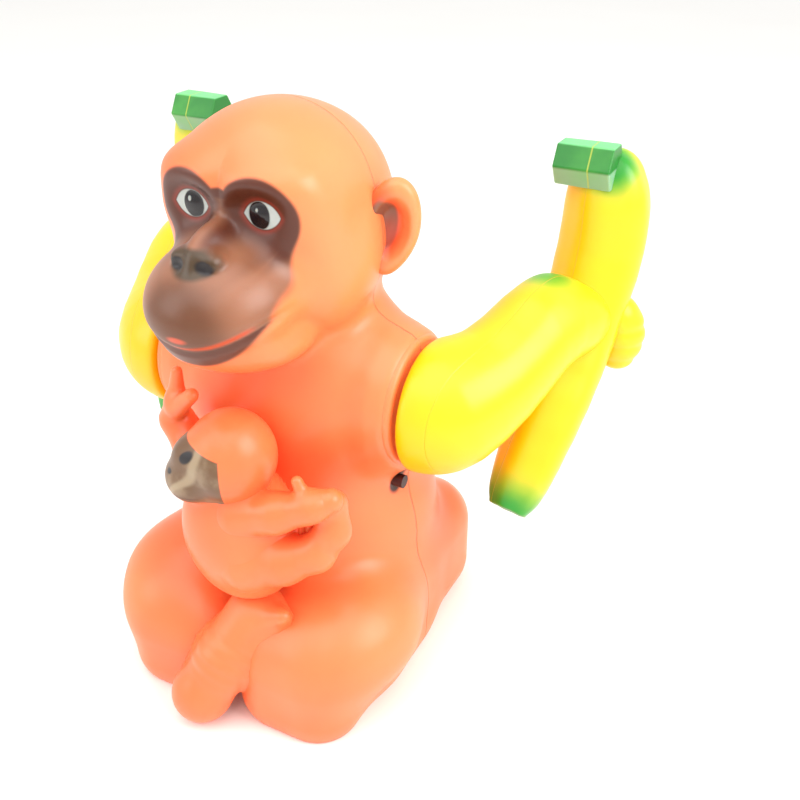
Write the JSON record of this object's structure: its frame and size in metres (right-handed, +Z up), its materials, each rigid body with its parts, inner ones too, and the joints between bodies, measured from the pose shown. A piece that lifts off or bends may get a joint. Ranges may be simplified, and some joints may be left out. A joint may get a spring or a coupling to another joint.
{
  "type": "wind-up toy ape",
  "caption": "Sitting toy ape with a baby on its belly, whose two banana-holding arms are swung round by a clockwork inside the body.",
  "frame": {"origin": "on the floor, in the plane of symmetry of the body, straight below the arm axle", "axes": "+Z up, the face looks along -Y, +X is the ape's left side; the arm axle lies along X"},
  "size_m": [0.19, 0.1434, 0.1895],
  "materials": {
    "orange_skin": "satin moulded",
    "yellow_arm": "satin moulded, green at the banana ends",
    "base_plastic": "matt",
    "key_plastic": "satin",
    "lever_plastic": "matt",
    "gear_plastic": "matt",
    "plate_steel": "pressed sheet",
    "spring_steel": "blued",
    "shaft_steel": "ground",
    "screw_steel": "zinc plated"
  },
  "bodies": {
    "body": {"front_shell": "orange_skin", "back_shell": "orange_skin", "baby": "orange_skin", "base_plate": "base_plastic", "base_screws": "screw_steel", "shell_screws": "screw_steel", "shoulder_bushes": "gear_plastic", "left_plate": "plate_steel", "right_plate": "plate_steel", "frame_pillars": "plate_steel", "pillar_screws": "screw_steel", "foot_screws": "screw_steel", "mainspring": "spring_steel", "lever_pin": "plate_steel"},
    "arms": {"arm_axle": "shaft_steel", "axle_pinion": "gear_plastic", "governor_wheel": "gear_plastic", "brake_disc": "gear_plastic", "left_arm_inner": "yellow_arm", "left_arm_outer": "yellow_arm", "right_arm_inner": "yellow_arm", "right_arm_outer": "yellow_arm", "arm_screws": "screw_steel"},
    "intermediate": {"intermediate_shaft": "shaft_steel", "intermediate_wheel": "gear_plastic", "intermediate_pinion": "gear_plastic"},
    "winding": {"spring_arbor": "shaft_steel", "great_wheel": "gear_plastic", "ratchet_wheel": "plate_steel", "ratchet_click": "plate_steel", "winding_key": "key_plastic"},
    "governor": {"governor_shaft": "shaft_steel", "governor_pinion": "gear_plastic", "governor_fan": "gear_plastic"},
    "stop_lever": {"stop_lever": "lever_plastic"}
  },
  "joints": [
    {"name": "arms_turn", "type": "hinge", "parent": "body", "child": "arms", "pos_m": [0, 0, 0.102], "axis": [1, 0, 0], "continuous": true},
    {"name": "intermediate_turn", "type": "hinge", "parent": "body", "child": "intermediate", "pos_m": [0, 0.00887, 0.08297], "axis": [1, 0, 0], "continuous": true},
    {"name": "key_turn", "type": "hinge", "parent": "body", "child": "winding", "pos_m": [0, 0.006, 0.05009], "axis": [1, 0, 0], "continuous": true},
    {"name": "governor_turn", "type": "hinge", "parent": "body", "child": "governor", "pos_m": [0, 0.01219, 0.12151], "axis": [1, 0, 0], "continuous": true},
    {"name": "lever_swing", "type": "hinge", "parent": "body", "child": "stop_lever", "pos_m": [0.0196, 0.002, 0.058], "axis": [-1, 0, 0], "range_deg": [0, 4.5]}
  ],
  "couplings": [
    {"joint": "intermediate_turn", "follows": "arms_turn", "ratio": -0.4},
    {"joint": "key_turn", "follows": "arms_turn", "ratio": 0.088889},
    {"joint": "governor_turn", "follows": "arms_turn", "ratio": -3.6}
  ]
}
